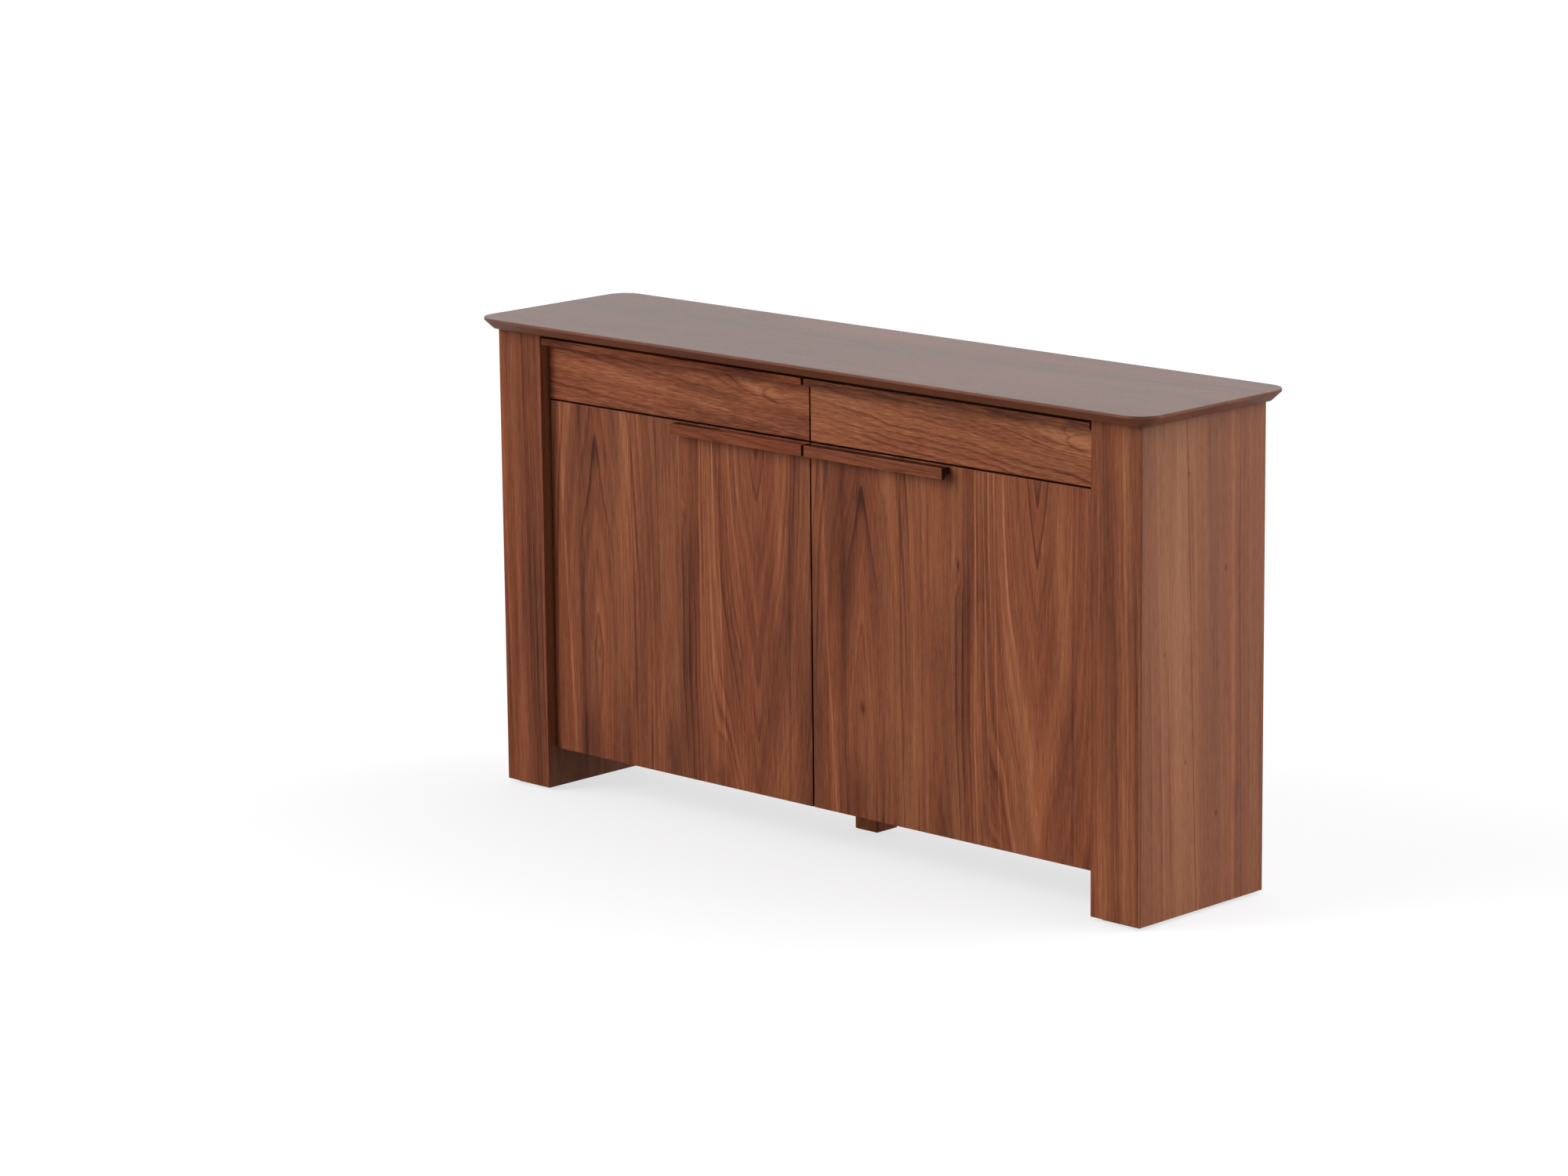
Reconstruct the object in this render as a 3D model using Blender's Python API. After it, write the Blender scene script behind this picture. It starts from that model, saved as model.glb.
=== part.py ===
"""A walnut console cabinet: two thick hollow side panels, a bevelled top with rounded corners, two drawers
over two inset doors, and a centre leg. Metres, +Z up, fronts towards -Y, origin on the floor at the middle."""

import bmesh
import bpy
from math import cos, pi, radians, sin, sqrt
from mathutils import Vector

# Overall sizes
BODY_WIDTH = 1.400
BODY_DEPTH = 0.294
HEIGHT = 0.800
OVERHANG = 0.028  # of the top past the body, on every side

# Boards
GAP = 0.0003  # between pieces that touch
ARRIS = 0.0006  # rounding of every board's edges
BOARD = 0.018
FACE_BOARD = 0.019  # doors and drawer fronts
BACK_BOARD = 0.008
SIDE_THICKNESS = 0.100

# Top
TOP_THICKNESS = 0.019
TOP_BAND = 0.0045  # the upright part of its edge
TOP_BEVEL_INSET = 0.015
TOP_CORNER_RADIUS = 0.038
TOP_ARRIS = 0.0007
CORNER_STEPS = 16

# Floor contact
PAD_INSET = 0.013
PAD_HEIGHT = 0.0055
PAD_ARRIS = 0.0004
LEG_SECTION = 0.050
LEG_LIFT = 0.008  # the centre leg stops this far above the floor
LEG_CHAMFER = 0.002
GLIDE_DISC_RADIUS = 0.010
GLIDE_DISC_HEIGHT = 0.003
GLIDE_STEM_RADIUS = 0.004
GLIDE_STEM_LENGTH = 0.030
GLIDE_PLAY = 0.0006

# Fronts
RECESS = 0.0175  # of doors and drawer fronts behind the side panels
SIDE_GAP = 0.0025
CENTRE_GAP = 0.003
DOOR_BOTTOM = 0.072
DOOR_TOP = 0.668
DRAWER_BOTTOM = 0.671
DRAWER_TOP_PLAY = 0.0015  # under the top

# Finger pulls: one moulding, used on the doors and along the drawers
PULL_LIP = 0.0068
PULL_LIP_UPRIGHT = 0.002  # straight part of the lip's back, below the cove
PULL_FINGER_ROOM = 0.0075  # height of the hollow behind the lip
PULL_END_INSET = 0.001
PULL_ARRIS = 0.0007
COVE_STEPS = 8
DOOR_PULL_HEIGHT = 0.018
DOOR_PULL_DEPTH = 0.0185
DOOR_PULL_LENGTH = 0.2955
DOOR_PULL_DROP = 0.0015  # below the door's upper edge
DRAWER_PULL_HEIGHT = 0.0115
DRAWER_PULL_DEPTH = RECESS
DRAWER_PULL_DROP = 0.0055  # below the drawer front's upper edge

# Carcass
INNER_FRONT = 0.040  # where its boards start, behind the side panels' front
BACK_INSET = 0.004
BOTTOM_UNDERSIDE = 0.075
DECK_TOP = 0.670
RAIL_DEPTH = 0.060
CORE_BORDER = 0.040
CORE_SIDE_BORDER = 0.062
CORE_WINDOWS = 5

# Shelves and their wires
SHELF_HEIGHT = 0.372  # underside
SHELF_FRONT = 0.060
SHELF_PLAY = 0.001
WIRE_RADIUS = 0.0016
WIRE_OFFSET = 0.0045  # from the wall to the wire's middle
WIRE_BEND = 0.003
WIRE_IN_WALL = 0.008
WIRE_FRONT = 0.095
WIRE_BACK = 0.245
WIRE_SIDES = 12
GROOVE_HEIGHT = 0.0042
GROOVE_PLAY = 0.003  # in front of the wire
GROOVE_DEPTH = 0.0070
HOLE_RADIUS = 0.0020

# Drawer boxes and runners
BOX_BOARD = 0.012
BOX_BOTTOM = 0.676
BOX_HEIGHT = 0.078
BOX_END = 0.262  # behind the side panels' front
TRAY_THICKNESS = 0.006
TRAY_LIFT = 0.008
TRAY_GROOVE = 0.005
TRAY_INSET = 0.002  # from the box's rear
RUNNER_SPACE = 0.013
RUNNER_HEIGHT = 0.040
RUNNER_LENGTH = 0.215
RUNNER_WALL = 0.0014
RUNNER_PLAY = 0.0006
RUNNER_SHUT = 0.042  # front end, behind the side panels' front

# Hinges: the door turns about a line inside its own thickness
PIVOT_FROM_EDGE = 0.008
PIVOT_FROM_FACE = 0.006
CUP_RADIUS = 0.0172
CUP_FROM_EDGE = 0.022
CUP_DEPTH = 0.0125
CUP_WALL = 0.0009
CUP_FLANGE = 0.0012
CUP_FLANGE_HEIGHT = 0.052
CUP_FLANGE_LAP = 0.0025  # past the cup, away from the door's edge
CUP_FLANGE_INSET = 0.002  # from the door's edge
CUP_SIDES = 40
ARC_RADIUS = 0.0159  # inner side of the guide, just clear of the door's rear corner
ARC_THICKNESS = 0.0013
ARC_FROM = 9
ARC_TO = 100
ARC_STEPS = 14
ARM_HEIGHT = 0.012
ARM_THICKNESS = 0.0075
ARM_REACH = 0.045
ARM_SLOPE = 0.003
ARM_NOSE = (0.002, 0.0015)  # how far its outer corner stands off the guide
PLATE_HEIGHT = 0.046
PLATE_THICKNESS = 0.0025
PLATE_SHARE = 0.62  # of the arm's reach
PLATE_INSET = 0.004  # from the arm's end
HINGE_FROM_END = 0.085

# Worked out from the above
FRONT = -BODY_DEPTH / 2
BACK = BODY_DEPTH / 2
HALF = BODY_WIDTH / 2
INNER_HALF = HALF - SIDE_THICKNESS
UNDER_TOP = HEIGHT - TOP_THICKNESS
FACE_FRONT = FRONT + RECESS
FACE_BACK = FACE_FRONT + FACE_BOARD
CARCASS_FRONT = FRONT + INNER_FRONT
BACK_PANEL_REAR = BACK - BACK_INSET
CARCASS_BACK = BACK_PANEL_REAR - BACK_BOARD - GAP
BOTTOM_TOP = BOTTOM_UNDERSIDE + BOARD
DECK_UNDERSIDE = DECK_TOP - BOARD
RAIL_UNDERSIDE = UNDER_TOP - GAP - BOARD

LEFT, RIGHT = -1, 1
SIDES = (("left", LEFT), ("right", RIGHT))

COLOURS = {
    "walnut": ((0.26, 0.105, 0.050, 1), 0.42, 0.0),
    "walnut_pull": ((0.17, 0.060, 0.032, 1), 0.42, 0.0),
    "carcass_walnut": ((0.22, 0.100, 0.055, 1), 0.50, 0.0),
    "birch": ((0.66, 0.50, 0.32, 1), 0.48, 0.0),
    "core_board": ((0.50, 0.38, 0.25, 1), 0.80, 0.0),
    "steel": ((0.62, 0.62, 0.62, 1), 0.30, 1.0),
    "felt": ((0.035, 0.030, 0.028, 1), 0.90, 0.0),
    "nylon": ((0.05, 0.045, 0.04, 1), 0.55, 0.0),
}


def clear_scene():
    for old in list(bpy.data.objects):
        bpy.data.objects.remove(old, do_unlink=True)


def material(name):
    found = bpy.data.materials.get(name)
    if found:
        return found
    colour, roughness, metallic = COLOURS[name]
    made = bpy.data.materials.new(name)
    made.use_nodes = True
    shader = made.node_tree.nodes["Principled BSDF"]
    shader.inputs["Base Color"].default_value = colour
    shader.inputs["Roughness"].default_value = roughness
    shader.inputs["Metallic"].default_value = metallic
    made.diffuse_color = colour
    return made


def empty(name, place):
    made = bpy.data.objects.new(name, None)
    made.empty_display_size = 0.03
    made.location = place
    bpy.context.collection.objects.link(made)
    return made


def put(name, mesh, centre, slot, parent=None):
    """Links a mesh, made about its own origin, at a world position, under a joint's empty if it moves."""
    made = bpy.data.objects.new(name, mesh)
    made.location = Vector(centre) - (parent.location if parent else Vector())
    made.parent = parent
    mesh.materials.append(material(slot))
    bpy.context.collection.objects.link(made)
    return made


def mesh_from(name, points, faces):
    mesh = bpy.data.meshes.new(name)
    work = bmesh.new()
    made = [work.verts.new(point) for point in points]
    for face in faces:
        work.faces.new([made[index] for index in face])
    bmesh.ops.recalc_face_normals(work, faces=work.faces)
    work.to_mesh(mesh)
    work.free()
    return mesh


def round_edges(piece, width=ARRIS, segments=2, angle=30):
    edge = piece.modifiers.new("arris", "BEVEL")
    edge.width = width
    edge.segments = segments
    edge.limit_method = "ANGLE"
    edge.angle_limit = radians(angle)
    edge.use_clamp_overlap = True
    return piece


def shade_round(piece, angle=35):
    piece.data.shade_smooth()
    piece.data.set_sharp_from_angle(angle=radians(angle))
    return piece


def box(name, slot, x, y, z, parent=None, arris=ARRIS):
    """A board between two x, two y and two z values."""
    centre = Vector([(low + high) / 2 for low, high in (x, y, z)])
    size = Vector([high - low for low, high in (x, y, z)])
    mesh = bpy.data.meshes.new(name)
    work = bmesh.new()
    bmesh.ops.create_cube(work, size=1)
    bmesh.ops.scale(work, vec=size, verts=work.verts)
    work.to_mesh(mesh)
    work.free()
    made = put(name, mesh, centre, slot, parent)
    return round_edges(made, arris) if arris else made


def prism(name, slot, outline, axis, start, end, parent=None):
    """Extrudes a closed outline along an axis. The outline's two numbers are the other two axes, in order."""

    def place(a, b, along):
        point = [a, b]
        point.insert(axis, along)
        return point

    middle = [sum(values) / len(outline) for values in zip(*outline)]
    centre = Vector(place(middle[0], middle[1], (start + end) / 2))
    count = len(outline)
    rings = [Vector(place(a, b, along)) - centre for along in (start, end) for a, b in outline]
    faces = [list(range(count)), list(range(count, 2 * count))]
    faces += [[i, (i + 1) % count, count + (i + 1) % count, count + i] for i in range(count)]
    return put(name, mesh_from(name, rings, faces), centre, slot, parent)


def arc(centre, radius, start, end, steps):
    """Points on a circle, angles in degrees."""
    turns = [radians(start + (end - start) * i / steps) for i in range(steps + 1)]
    return [(centre[0] + radius * cos(turn), centre[1] + radius * sin(turn)) for turn in turns]


def hide(cutter):
    cutter.hide_render = True
    cutter.display_type = "WIRE"
    return cutter


def cut(piece, cutter):
    hole = piece.modifiers.new("cut", "BOOLEAN")
    hole.operation = "DIFFERENCE"
    hole.solver = "EXACT"
    hole.object = hide(cutter)
    return piece


def join(piece, other):
    """Adds another shape to a piece; the other one stays behind as a hidden guide."""
    union = piece.modifiers.new("join", "BOOLEAN")
    union.operation = "UNION"
    union.solver = "EXACT"
    union.object = hide(other)
    return piece


def rod(name, slot, centre, radius, length, axis, parent=None, sides=24):
    """A round bar along an axis, centred on a point."""
    outline = arc((0, 0), radius, 0, 360 * (sides - 1) / sides, sides - 1)
    others = [centre[i] for i in range(3) if i != axis]
    outline = [(a + others[0], b + others[1]) for a, b in outline]
    start = centre[axis] - length / 2
    made = prism(name, slot, outline, axis, start, start + length, parent)
    return shade_round(made)


def mirrored(side, low, high):
    """An x range measured from the middle outwards, on one side of the cabinet."""
    return (low, high) if side == RIGHT else (-high, -low)


def rounded_outline(half_x, half_y, radius):
    corners = ((1, -1, -90), (1, 1, 0), (-1, 1, 90), (-1, -1, 180))
    outline = []
    for sign_x, sign_y, start in corners:
        middle = (sign_x * (half_x - radius), sign_y * (half_y - radius))
        outline += arc(middle, radius, start, start + 90, CORNER_STEPS)
    return outline


def make_top():
    """Levels from the underside up: each is the outline, inset, at one height."""
    half_x = HALF + OVERHANG
    half_y = BODY_DEPTH / 2 + OVERHANG
    band_foot = HEIGHT - TOP_BAND
    levels = [(TOP_BEVEL_INSET + TOP_ARRIS, UNDER_TOP), (TOP_BEVEL_INSET, UNDER_TOP + TOP_ARRIS / 2)]
    levels += [(TOP_ARRIS / 2, band_foot - TOP_ARRIS / 2), (0, band_foot + TOP_ARRIS / 2)]
    levels += [(0, HEIGHT - TOP_ARRIS), (TOP_ARRIS * (1 - sqrt(0.5)), HEIGHT - TOP_ARRIS * (1 - sqrt(0.5)))]
    levels += [(TOP_ARRIS, HEIGHT)]
    middle = Vector((0, 0, HEIGHT - TOP_THICKNESS / 2))
    points = []
    for inset, height in levels:
        for x, y in rounded_outline(half_x - inset, half_y - inset, TOP_CORNER_RADIUS - inset):
            points.append(Vector((x, y, height)) - middle)
    count = len(points) // len(levels)
    faces = [list(range(count)), list(range(len(points) - count, len(points)))]
    for level in range(len(levels) - 1):
        for i in range(count):
            low = level * count
            after = (i + 1) % count
            faces.append([low + i, low + after, low + count + after, low + count + i])
    top = put("top_panel", mesh_from("top_panel", points, faces), middle, "walnut")
    shade_round(top)


def make_side(label, side):
    """A hollow panel: four boards mitred at the corners, round a core frame, on a thin pad."""
    low, high = PAD_HEIGHT, UNDER_TOP - GAP
    mitre = GAP * sqrt(0.5)
    outer, inner = HALF, INNER_HALF

    def across(outline):
        return [(x * side, y) for x, y in outline]

    def board(name, outline):
        made = prism(name, "walnut", across(outline), 2, low, high)
        round_edges(made, ARRIS, 2)

    skin = [(outer, FRONT + mitre), (outer, BACK - mitre)]
    skin += [(outer - BOARD, BACK - BOARD - mitre), (outer - BOARD, FRONT + BOARD + mitre)]
    board(f"{label}_side_outer_panel", skin)
    skin = [(inner, FRONT + mitre), (inner, BACK - mitre)]
    skin += [(inner + BOARD, BACK - BOARD - mitre), (inner + BOARD, FRONT + BOARD + mitre)]
    board(f"{label}_side_inner_panel", skin)
    for where, edge, inward in (("front", FRONT, 1), ("rear", BACK, -1)):
        narrow = edge + inward * BOARD
        strip = [(inner + mitre, edge), (outer - mitre, edge)]
        strip += [(outer - BOARD - mitre, narrow), (inner + BOARD + mitre, narrow)]
        board(f"{label}_side_{where}_board", strip)
    core_x = mirrored(side, inner + BOARD + GAP, outer - BOARD - GAP)
    core_y = (FRONT + BOARD + GAP, BACK - BOARD - GAP)
    core = box(f"{label}_side_core", "core_board", core_x, core_y, (low, high), arris=0)
    pitch = (high - low - CORE_BORDER) / CORE_WINDOWS
    for index in range(CORE_WINDOWS):
        foot = low + CORE_BORDER + index * pitch
        window_x = (core_x[0] - BOARD, core_x[1] + BOARD)
        window_y = (core_y[0] + CORE_SIDE_BORDER, core_y[1] - CORE_SIDE_BORDER)
        window_z = (foot, foot + pitch - CORE_BORDER)
        cut(core, box(f"{label}_core_window_{index}", "core_board", window_x, window_y, window_z, arris=0))
    pad_x = mirrored(side, inner + PAD_INSET, outer - PAD_INSET)
    pad_y = (FRONT + PAD_INSET, BACK - PAD_INSET)
    box(f"{label}_floor_pad", "felt", pad_x, pad_y, (0, PAD_HEIGHT - GAP), arris=PAD_ARRIS)


def make_carcass():
    wide = (-INNER_HALF + GAP, INNER_HALF - GAP)
    deep = (CARCASS_FRONT, CARCASS_BACK)
    half_board = (-BOARD / 2, BOARD / 2)
    box("bottom_panel", "carcass_walnut", wide, deep, (BOTTOM_UNDERSIDE, BOTTOM_TOP))
    box("drawer_deck", "carcass_walnut", wide, deep, (DECK_UNDERSIDE, DECK_TOP))
    divider_z = (BOTTOM_TOP + GAP, DECK_UNDERSIDE - GAP)
    box("lower_divider", "carcass_walnut", half_board, deep, divider_z)
    divider_z = (DECK_TOP + GAP, RAIL_UNDERSIDE - GAP)
    box("upper_divider", "carcass_walnut", half_board, deep, divider_z)
    rail_z = (RAIL_UNDERSIDE, UNDER_TOP - GAP)
    box("front_top_rail", "carcass_walnut", wide, (CARCASS_FRONT, CARCASS_FRONT + RAIL_DEPTH), rail_z)
    box("rear_top_rail", "carcass_walnut", wide, (CARCASS_BACK - RAIL_DEPTH, CARCASS_BACK), rail_z)
    back_y = (BACK_PANEL_REAR - BACK_BOARD, BACK_PANEL_REAR)
    box("back_panel", "walnut", wide, back_y, (BOTTOM_UNDERSIDE, UNDER_TOP - GAP))


def make_leg():
    """The centre leg, under the middle of the carcass, and the screw-in glide in its foot."""
    middle_y = (FACE_BACK + BACK) / 2
    half = LEG_SECTION / 2
    leg_z = (LEG_LIFT, BOTTOM_UNDERSIDE - GAP)
    leg = box("centre_leg", "walnut", (-half, half), (middle_y - half, middle_y + half), leg_z, arris=0)
    round_edges(leg, LEG_CHAMFER, 1)
    disc_room = GLIDE_DISC_HEIGHT + GLIDE_PLAY
    place = (0, middle_y, LEG_LIFT)
    cut(leg, rod("glide_seat", "nylon", place, GLIDE_DISC_RADIUS + GLIDE_PLAY, 2 * disc_room, 2))
    bore = (0, middle_y, LEG_LIFT + disc_room + GLIDE_STEM_LENGTH / 2)
    bore_length = GLIDE_STEM_LENGTH + 4 * GLIDE_PLAY
    cut(leg, rod("glide_bore", "nylon", bore, GLIDE_STEM_RADIUS + GLIDE_PLAY, bore_length, 2))
    screw = empty("centre_glide_screw", place)
    disc_place = (0, middle_y, LEG_LIFT + GLIDE_DISC_HEIGHT / 2)
    glide = rod("centre_glide", "nylon", disc_place, GLIDE_DISC_RADIUS, GLIDE_DISC_HEIGHT, 2, screw)
    stem_place = (0, middle_y, LEG_LIFT + GLIDE_DISC_HEIGHT / 2 + GLIDE_STEM_LENGTH / 2)
    join(glide, rod("glide_stem", "steel", stem_place, GLIDE_STEM_RADIUS, GLIDE_STEM_LENGTH, 2, screw))


def pull_outline(depth, height, top):
    """The moulding's end, in y and z: a block against the front, a thin lip in front, and a cove between."""
    foot = top - height
    block_foot = foot + PULL_FINGER_ROOM
    face = FACE_FRONT - GAP
    lip_front = FACE_FRONT - depth
    lip_back = lip_front + PULL_LIP
    radius = PULL_FINGER_ROOM - PULL_LIP_UPRIGHT
    cove = arc((lip_back + radius, block_foot - radius), radius, 90, 180, COVE_STEPS)
    outline = [(lip_front, foot), (lip_front, top), (face, top), (face, block_foot)]
    return outline + cove + [(lip_back, foot)]


def make_pull(name, x, depth, height, top, parent):
    pull = prism(name, "walnut_pull", pull_outline(depth, height, top), 0, x[0], x[1], parent)
    shade_round(round_edges(pull, PULL_ARRIS, 2, 40))


def make_hinge(name, side, height, door, door_turn):
    """One concealed hinge: a cup let into the door, and an arm whose curved nose runs inside the cup."""
    edge = INNER_HALF - SIDE_GAP
    cup_x = side * (edge - CUP_FROM_EDGE)
    bore_place = (cup_x, FACE_BACK, height)
    bore_radius = CUP_RADIUS + GAP
    cut(door, rod(f"{name}_bore", "steel", bore_place, bore_radius, 2 * (CUP_DEPTH + GAP), 1, door_turn, CUP_SIDES))
    cup_length = CUP_DEPTH + GAP + CUP_FLANGE
    cup_place = (cup_x, FACE_BACK - CUP_DEPTH + cup_length / 2, height)
    cup = rod(f"{name}_cup", "steel", cup_place, CUP_RADIUS, cup_length, 1, door_turn, CUP_SIDES)
    flange_low = edge - CUP_FROM_EDGE - CUP_RADIUS - CUP_FLANGE_LAP
    flange_x = mirrored(side, flange_low, edge - CUP_FLANGE_INSET)
    flange_y = (FACE_BACK + GAP, FACE_BACK + GAP + CUP_FLANGE)
    flange_z = (height - CUP_FLANGE_HEIGHT / 2, height + CUP_FLANGE_HEIGHT / 2)
    join(cup, box(f"{name}_flange", "steel", flange_x, flange_y, flange_z, door_turn, 0))
    hollow_place = (cup_x, FACE_BACK + CUP_WALL, height)
    hollow_radius = CUP_RADIUS - CUP_WALL
    cut(cup, rod(f"{name}_hollow", "steel", hollow_place, hollow_radius, 2 * CUP_DEPTH, 1, door_turn, CUP_SIDES))

    pivot = (edge - PIVOT_FROM_EDGE, FACE_FRONT + PIVOT_FROM_FACE)
    inner = arc(pivot, ARC_RADIUS, 180 - ARC_FROM, 180 - ARC_TO, ARC_STEPS)
    outer = arc(pivot, ARC_RADIUS + ARC_THICKNESS, 180 - ARC_TO, 180 - ARC_FROM, ARC_STEPS)
    wall = INNER_HALF - GAP
    reach = pivot[1] + ARC_RADIUS + ARM_REACH
    shoulder = inner[-1][1] + ARM_THICKNESS
    body = [(wall, inner[-1][1] + ARM_SLOPE), (wall, reach), (wall - ARM_THICKNESS, reach)]
    nose = (outer[0][0] - ARM_NOSE[0], outer[0][1] + ARM_NOSE[1])
    body += [(wall - ARM_THICKNESS - ARM_SLOPE, shoulder), nose]
    outline = [(side * x, y) for x, y in inner + body + outer]
    arm = prism(f"{name}_arm", "steel", outline, 2, height - ARM_HEIGHT / 2, height + ARM_HEIGHT / 2)
    plate_x = mirrored(side, wall - PLATE_THICKNESS, wall)
    plate_y = (reach - ARM_REACH * PLATE_SHARE, reach - PLATE_INSET)
    plate_z = (height - PLATE_HEIGHT / 2, height + PLATE_HEIGHT / 2)
    join(arm, box(f"{name}_plate", "steel", plate_x, plate_y, plate_z, None, 0))
    shade_round(arm)


def make_door(label, side):
    turn_x = side * (INNER_HALF - SIDE_GAP - PIVOT_FROM_EDGE)
    turn = empty(f"{label}_door_hinge", (turn_x, FACE_FRONT + PIVOT_FROM_FACE, DOOR_BOTTOM))
    door_x = mirrored(side, CENTRE_GAP / 2, INNER_HALF - SIDE_GAP)
    door = box(f"{label}_door", "walnut", door_x, (FACE_FRONT, FACE_BACK), (DOOR_BOTTOM, DOOR_TOP), turn)
    pull_low = CENTRE_GAP / 2 + PULL_END_INSET
    pull_x = mirrored(side, pull_low, pull_low + DOOR_PULL_LENGTH)
    pull_top = DOOR_TOP - DOOR_PULL_DROP
    make_pull(f"{label}_door_pull", pull_x, DOOR_PULL_DEPTH, DOOR_PULL_HEIGHT, pull_top, turn)
    heights = (("lower", DOOR_BOTTOM + HINGE_FROM_END), ("upper", DOOR_TOP - HINGE_FROM_END))
    for which, height in heights:
        make_hinge(f"{label}_{which}_hinge", side, height, door, turn)


def wire_path(wall, inward, height):
    """The wire's middle line: out of one hole, along the wall and back into the other."""
    run = wall + inward * WIRE_OFFSET
    root = wall - inward * WIRE_IN_WALL
    front, back = FRONT + WIRE_FRONT, FRONT + WIRE_BACK
    bends = []
    for y, start, end in ((front, -90, 0), (back, 0, 90)):
        centre_y = y + WIRE_BEND if y == front else y - WIRE_BEND
        for x, bend_y in arc((0, centre_y), WIRE_BEND, start, end, 4):
            bends.append((run - inward * (WIRE_BEND - x), bend_y, height))
    return [(root, front, height)] + bends + [(root, back, height)]


def sweep(name, slot, path, radius, sides):
    """A round bar along a path that stays at one height, with flat ends."""
    points = [Vector(point) for point in path]
    middle = sum(points, Vector()) / len(points)
    rings = []
    for index, point in enumerate(points):
        before = points[max(index - 1, 0)]
        after = points[min(index + 1, len(points) - 1)]
        along = (after - before).normalized()
        across = along.cross(Vector((0, 0, 1)))
        for step in range(sides):
            turn = 2 * pi * step / sides
            rings.append(point - middle + radius * (cos(turn) * across + sin(turn) * Vector((0, 0, 1))))
    faces = [list(range(sides)), list(range(len(rings) - sides, len(rings)))]
    for index in range(len(points) - 1):
        for step in range(sides):
            low, after = index * sides, (step + 1) % sides
            faces.append([low + step, low + after, low + sides + after, low + sides + step])
    return shade_round(put(name, mesh_from(name, rings, faces), middle, slot))


def make_shelf(label, side):
    """A shelf that slides onto two bent wires, one in the side panel and one in the divider."""
    walls = (("inner", BOARD / 2, 1), ("outer", INNER_HALF, -1))
    shelf_x = (walls[0][1] + SHELF_PLAY, walls[1][1] - SHELF_PLAY)
    shelf_y = (FRONT + SHELF_FRONT, CARCASS_BACK - SHELF_PLAY)
    shelf_z = (SHELF_HEIGHT, SHELF_HEIGHT + BOARD)
    shelf = box(f"{label}_shelf", "carcass_walnut", mirrored(side, *shelf_x), shelf_y, shelf_z)
    wire_z = SHELF_HEIGHT + BOARD / 2
    hosts = {"inner": "lower_divider", "outer": f"{label}_side_inner_panel"}
    for where, wall, inward in walls:
        path = [(side * x, y, z) for x, y, z in wire_path(wall, inward, wire_z)]
        sweep(f"{label}_shelf_{where}_wire", "steel", path, WIRE_RADIUS, WIRE_SIDES)
        edge = wall + inward * SHELF_PLAY
        ends = sorted((edge - inward * BOARD, edge + inward * GROOVE_DEPTH))
        groove_y = (FRONT + WIRE_FRONT - WIRE_RADIUS - GROOVE_PLAY, CARCASS_BACK + BOARD)
        groove_z = (wire_z - GROOVE_HEIGHT / 2, wire_z + GROOVE_HEIGHT / 2)
        groove_x = mirrored(side, *ends)
        cut(shelf, box(f"{label}_{where}_groove", "steel", groove_x, groove_y, groove_z, arris=0))
        for end, y in (("front", FRONT + WIRE_FRONT), ("back", FRONT + WIRE_BACK)):
            place = (side * wall, y, wire_z)
            length = 2 * (WIRE_IN_WALL + GAP)
            hole = rod(f"{label}_{where}_{end}_hole", "steel", place, HOLE_RADIUS, length, 0, None, WIRE_SIDES)
            cut(bpy.data.objects[hosts[where]], hole)


def channel(name, slot, x_web, x_open, half_height, y, middle_z, parent=None):
    """A rail of channel section: an upright web with a flange along its top and bottom."""
    wall = RUNNER_WALL if x_open > x_web else -RUNNER_WALL
    low, high = middle_z - half_height, middle_z + half_height
    outline = [(x_web, low), (x_open, low), (x_open, low + RUNNER_WALL), (x_web + wall, low + RUNNER_WALL)]
    outline += [(x_web + wall, high - RUNNER_WALL), (x_open, high - RUNNER_WALL), (x_open, high), (x_web, high)]
    return prism(name, slot, outline, 1, y[0], y[1], parent)


def make_runner(name, wall, inward, slide):
    """A cabinet rail on the wall, and the drawer rail that runs inside it."""
    middle_z = BOX_BOTTOM + BOX_HEIGHT / 2
    y = (FRONT + RUNNER_SHUT, FRONT + RUNNER_SHUT + RUNNER_LENGTH)
    wall_face = wall + inward * GAP
    box_face = wall + inward * (RUNNER_SPACE - GAP)
    lap = RUNNER_SPACE - 4 * RUNNER_WALL
    channel(f"{name}_cabinet_rail", "steel", wall_face, wall_face + inward * lap, RUNNER_HEIGHT / 2, y, middle_z)
    half = RUNNER_HEIGHT / 2 - RUNNER_WALL - RUNNER_PLAY
    channel(f"{name}_drawer_rail", "steel", box_face, box_face - inward * lap, half, y, middle_z, slide)


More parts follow.
